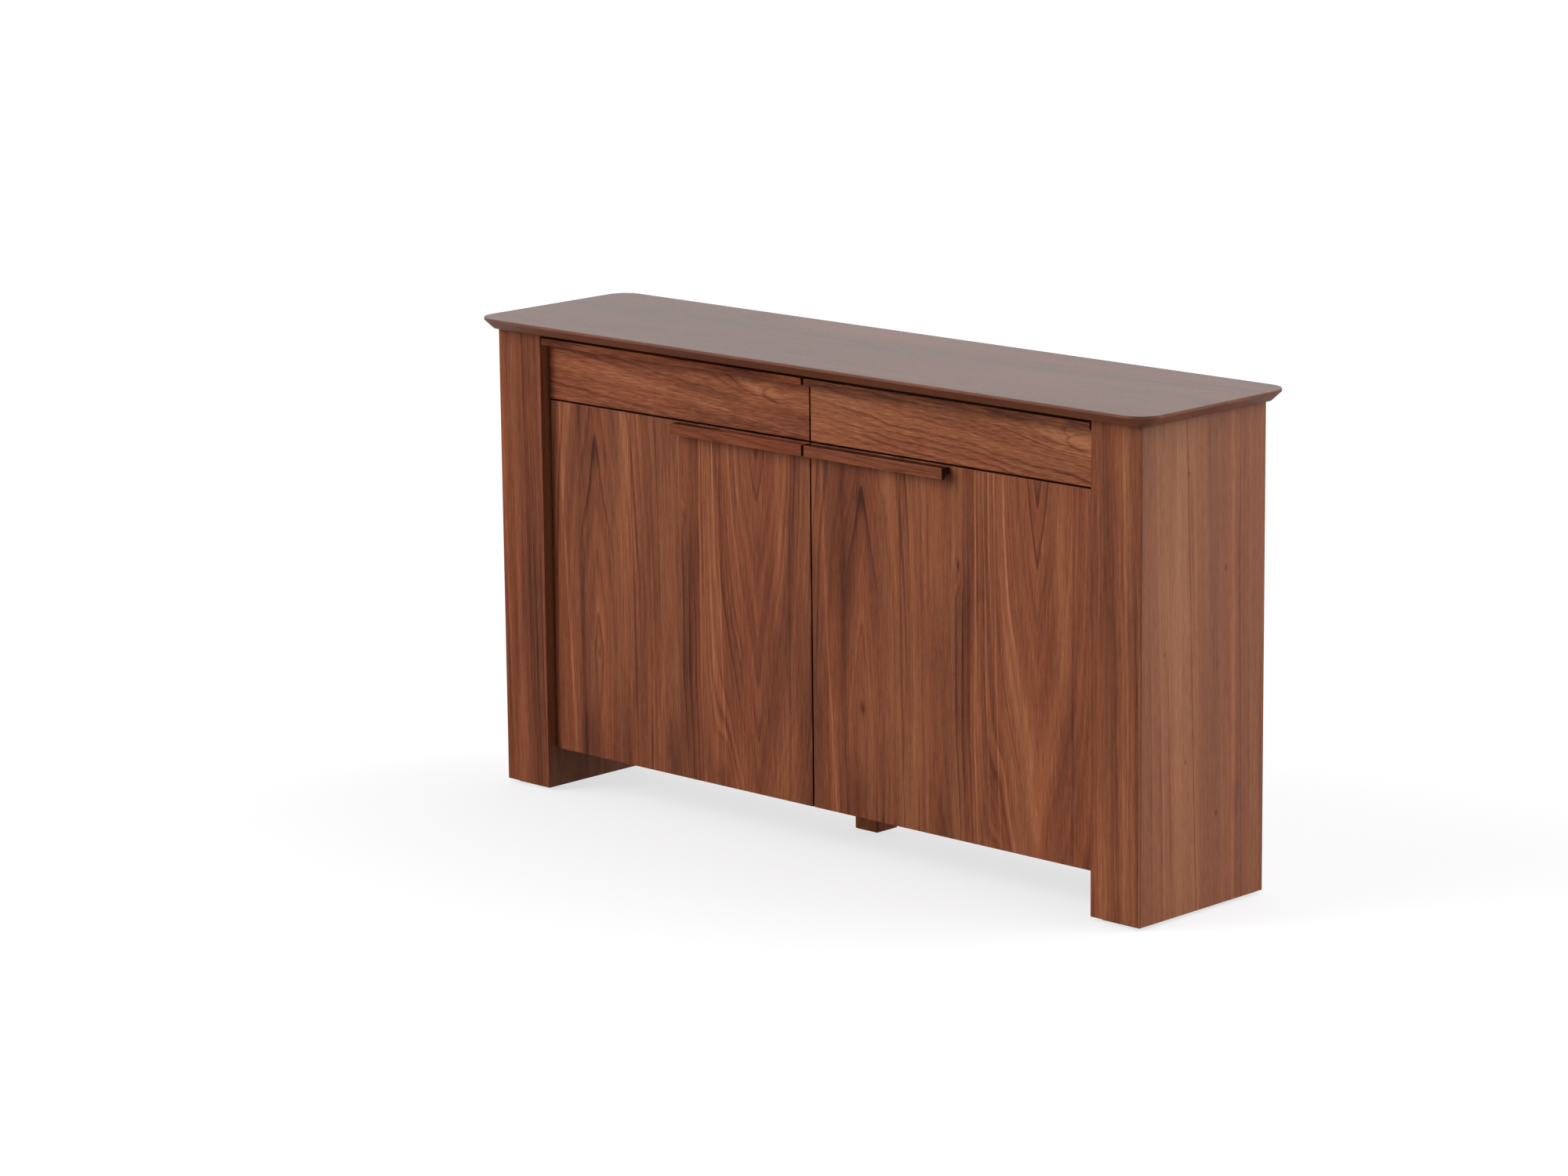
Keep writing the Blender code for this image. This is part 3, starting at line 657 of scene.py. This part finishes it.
DOOR_PULL_PATCHES = ((-0.15, 0.05, 0.08), (0.18, 0.06, 0.06))
SIDE_LOOKS = {
    "left": {
        "door": {"tone": 0.51, "warmth": 0.62},
        "drawer": {"tone": 0.54, "warmth": 0.85},
        "eye_from_end": 0.508,
        "pull_warmth": 0.95,
        "drawer_pull_tone": 0.28,
        "drawer_pull_patches": (
            (-0.48, 0.06, 0.28),
            (-0.38, 0.07, 0.16),
            (-0.14, 0.08, -0.15),
            (-0.02, 0.03, 0.10),
        ),
        "door_pull_tone": 0.43,
        "post": {"tone": 0.48, "warmth": 0.75},
        "post_marks": {"light_at": -0.66, "light": 0.0, "dark_at": -0.632},
    },
    "right": {
        "door": {"tone": 0.545, "warmth": 0.5},
        "drawer": {"tone": 0.75, "warmth": 0.6},
        "eye_from_end": 0.548,
        "pull_warmth": 0.45,
        "drawer_pull_tone": 0.25,
        "drawer_pull_patches": (
            (0.05, 0.06, -0.12),
            (0.15, 0.06, -0.10),
            (0.33, 0.08, 0.10),
            (0.44, 0.05, 0.08),
            (0.56, 0.06, 0.14),
        ),
        "door_pull_tone": 0.41,
        "post": {"tone": 0.53, "warmth": 0.6},
        "post_marks": {"light_at": 0.667, "light": 0.12, "dark_at": 0.64},
    },
}

for index, (side, look) in enumerate(SIDE_LOOKS.items()):
    sheet = float(index)
    low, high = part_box(side + "_door")
    door_walnut = wood(
        side + "_door_walnut",
        "zxy",
        door_rings(low[0], sheet),
        2.0 + 0.25 * sheet,
        streaks=door_streaks(low, high, sheet),
        **look["door"],
    )
    dress(door_walnut, side + "_door")

    low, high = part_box(side + "_drawer_front")
    eye = low[0] + look["eye_from_end"]
    drawer_walnut = wood(
        side + "_drawer_walnut",
        "xzy",
        drawer_rings(eye, sheet),
        20.0 + 0.3 * sheet,
        contrast=0.95,
        dashes=0.30,
        streaks=drawer_streaks(low, high, eye, sheet),
        **look["drawer"],
    )
    dress(drawer_walnut, side + "_drawer_front")

    for kind, seed, tone, contrast, patches in (
        ("drawer", 37.0, look["drawer_pull_tone"], 1.25, look["drawer_pull_patches"]),
        ("door", 35.0, look["door_pull_tone"], 0.6, DOOR_PULL_PATCHES),
    ):
        pull = side + "_" + kind + "_pull"
        pull_walnut = wood(
            pull + "_walnut",
            "xzy",
            stretched(60.0, 3.0, 3.0, 0.05, 60.0),
            seed + 3.0 * sheet,
            tone=tone,
            warmth=look["pull_warmth"],
            contrast=contrast,
            specular=0.05,
            dashes=0.18,
            streaks=pull_streaks(*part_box(pull), patches),
        )
        dress(pull_walnut, pull)

    side_walnut = wood(
        side + "_side_walnut",
        "zyx",
        stretched(8.0, 0.4, 1.8, 0.025, 30.0),
        40.0 + sheet,
        tone=0.69,
        warmth=0.38,
        contrast=0.62,
        dashes=0.22,
        specular=0.38,
        streaks=side_streaks,
    )
    dress(side_walnut, side + "_side_outer_panel", side + "_side_inner_panel")

    post_walnut = wood(
        side + "_post_walnut",
        "zxy",
        stretched(10.0, 0.4, 1.2, 0.012, 55.0),
        50.0 + sheet,
        contrast=0.9,
        streaks=post_streaks(**look["post_marks"]),
        **look["post"],
    )
    dress(post_walnut, side + "_side_front_board", side + "_side_rear_board")

top_walnut = wood(
    "top_walnut",
    "xyz",
    stretched(9.0, 0.7, 5.0, 0.0, 20.0),
    60.0,
    tone=0.17,
    warmth=0.35,
    contrast=0.4,
    roughness=0.3,
    specular=0.44,
    streaks=top_streaks(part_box("top_panel")[1][2]),
)
dress(top_walnut, "top_panel")

rail_walnut = wood("rail_walnut", "xzy", stretched(), 70.0, tone=0.42, warmth=0.6)
dress(rail_walnut, "front_top_rail", "rear_top_rail")
dress(wood("leg_walnut", "zxy", stretched(), 71.0, tone=0.70, warmth=0.55), "centre_leg")

back_rings = stretched(5.0, 0.5, 8.0, 0.0, 12.0)
carcass_rings = stretched(6.0, 0.6, 6.0, 0.0, 15.0)
for name, grain, rings, seed, tone, roughness, pieces in (
    ("back", "xzy", back_rings, 72.0, 0.47, 0.5, ["back_panel"]),
    (
        "carcass",
        "xyz",
        carcass_rings,
        73.0,
        0.45,
        0.45,
        ["bottom_panel", "drawer_deck", "left_shelf", "right_shelf"],
    ),
    ("divider", "zyx", carcass_rings, 74.0, 0.45, 0.45, ["lower_divider", "upper_divider"]),
):
    inside_walnut = wood(
        name + "_walnut", grain, rings, seed, tone=tone, contrast=0.8, roughness=roughness
    )
    dress(inside_walnut, *pieces)

dress(chipboard("core_chipboard"), "left_side_core", "right_side_core")
dress(felt("pad_felt"), "left_floor_pad", "right_floor_pad")
dress(nylon("glide_nylon"), "centre_glide")

side_rings = stretched(9.0, 0.6, 5.0, 0.02, 60.0)
tray_rings = stretched(6.0, 0.6, 8.0, 0.0, 20.0)
birch_along, birch_across, birch_tray = (
    wood(
        name,
        grain,
        rings,
        seed,
        tone=tone,
        contrast=0.6,
        roughness=0.45,
        specular=0.2,
        dashes=0.05,
        ramps=(BIRCH_PALE, BIRCH_WARM),
    )
    for name, grain, rings, seed, tone in (
        ("birch_along", "yzx", side_rings, 80.0, 0.55),
        ("birch_across", "xzy", side_rings, 81.0, 0.55),
        ("birch_tray", "xyz", tray_rings, 82.0, 0.60),
    )
)
rail_steel = steel("rail_steel", "yzx")
wire_steel = steel("wire_steel", "yzx", 0.24)
hinge_steel = steel("hinge_steel", "zxy", 0.26)
for side in SIDE_LOOKS:
    drawer = side + "_drawer_"
    dress(birch_along, drawer + "inner_side", drawer + "outer_side")
    dress(birch_across, drawer + "back")
    dress(birch_tray, drawer + "tray")
    for place in ("inner", "outer"):
        dress(rail_steel, drawer + place + "_cabinet_rail", drawer + place + "_drawer_rail")
        dress(wire_steel, side + "_shelf_" + place + "_wire")
    for height in ("lower", "upper"):
        hinge = side + "_" + height + "_hinge_"
        dress(hinge_steel, hinge + "cup", hinge + "arm")

# ---------------------------------------------------------------- floor

FLOOR_HALF_SIZE = 60.0
FLOOR_COLOUR = (0.33, 0.33, 0.34, 1.0)
FLOOR_GLOW = 0.685
WHITE = (1.0, 1.0, 1.0, 1.0)

scene = bpy.context.scene
corners = [
    (x * FLOOR_HALF_SIZE, y * FLOOR_HALF_SIZE, 0.0)
    for x, y in ((-1, -1), (1, -1), (1, 1), (-1, 1))
]
floor_mesh = bpy.data.meshes.new("floor")
floor_mesh.from_pydata(corners, [], [(0, 1, 2, 3)])
floor = bpy.data.objects.new("floor", floor_mesh)
scene.collection.objects.link(floor)
floor_look, floor_tree, floor_shader, _ = new_material("floor_paper")
floor_shader.inputs["Base Color"].default_value = FLOOR_COLOUR
floor_shader.inputs["Roughness"].default_value = 0.9
floor_shader.inputs["Specular IOR Level"].default_value = 0.0
floor_shader.inputs["Emission Color"].default_value = WHITE
# the paper shows almost white, but throws no more light on the cabinet than grey card does
light_path = floor_tree.nodes.new("ShaderNodeLightPath")
seen = Value(floor_tree, light_path.outputs["Is Camera Ray"])
connect(floor_tree, seen * FLOOR_GLOW, floor_shader.inputs["Emission Strength"])
floor_mesh.materials.append(floor_look)

# ---------------------------------------------------------------- studio light

AMBIENT = 0.85
FRONT_DIP = 0.50
RIGHT_BOX = 2.35
LEFT_BOX = 5.5
OVERHEAD_DIP = 0.15
DARK_SIDE_DIP = 0.93

world = bpy.data.worlds.new("studio")
scene.world = world
world.use_nodes = True
sky = world.node_tree
sky_place = sky.nodes.new("ShaderNodeTexCoord")
sky_parts = sky.nodes.new("ShaderNodeSeparateXYZ")
sky.links.new(sky_place.outputs["Generated"], sky_parts.inputs[0])
sky_axes = [Value(sky, socket) for socket in sky_parts.outputs]


def toward(*direction):
    """The cosine between each direction in the sky and this one."""
    return total(*(axis * part for axis, part in zip(sky_axes, Vector(direction).normalized())))


dark_side = toward(0.70, -0.70, 0.0).step(0.10, 0.75)
right_box = toward(0.82, 0.42, 0.40).step(0.45, 0.95)
left_box = toward(-0.50, -0.70, 0.43).step(0.84, 0.985)
front = (-sky_axes[1]).step(-0.2, 0.5)
overhead = sky_axes[2].step(0.45, 0.95)
boxes = AMBIENT - front * FRONT_DIP + right_box * RIGHT_BOX + left_box * LEFT_BOX
brightness = (boxes - overhead * OVERHEAD_DIP) * (1.0 - dark_side * DARK_SIDE_DIP)
background = sky.nodes["Background"]
background.inputs["Color"].default_value = WHITE
connect(sky, brightness, background.inputs["Strength"])

# ---------------------------------------------------------------- camera

CAMERA_AZIMUTH = math.radians(43.9885)
CAMERA_ELEVATION = math.radians(12.2173)
CAMERA_ROLL = math.radians(-0.6349)
CAMERA_PLACE = Vector((5.61288, -6.00753, 2.19277))
CAMERA_LENS = 119.693
CAMERA_SENSOR = 36.0
CAMERA_REACH = 200.0

back = Vector(
    (
        math.sin(CAMERA_AZIMUTH) * math.cos(CAMERA_ELEVATION),
        -math.cos(CAMERA_AZIMUTH) * math.cos(CAMERA_ELEVATION),
        math.sin(CAMERA_ELEVATION),
    )
)
level_right = Vector((0.0, 0.0, 1.0)).cross(back).normalized()
level_up = back.cross(level_right)
right = level_right * math.cos(CAMERA_ROLL) + level_up * math.sin(CAMERA_ROLL)
up = level_up * math.cos(CAMERA_ROLL) - level_right * math.sin(CAMERA_ROLL)
turn = Matrix((right, up, back)).transposed().to_4x4()
camera = bpy.data.objects.new("camera", bpy.data.cameras.new("camera"))
scene.collection.objects.link(camera)
camera.matrix_world = Matrix.Translation(CAMERA_PLACE) @ turn
camera.data.lens = CAMERA_LENS
camera.data.sensor_width = CAMERA_SENSOR
camera.data.clip_end = CAMERA_REACH
scene.camera = camera
scene.view_settings.view_transform = "Standard"
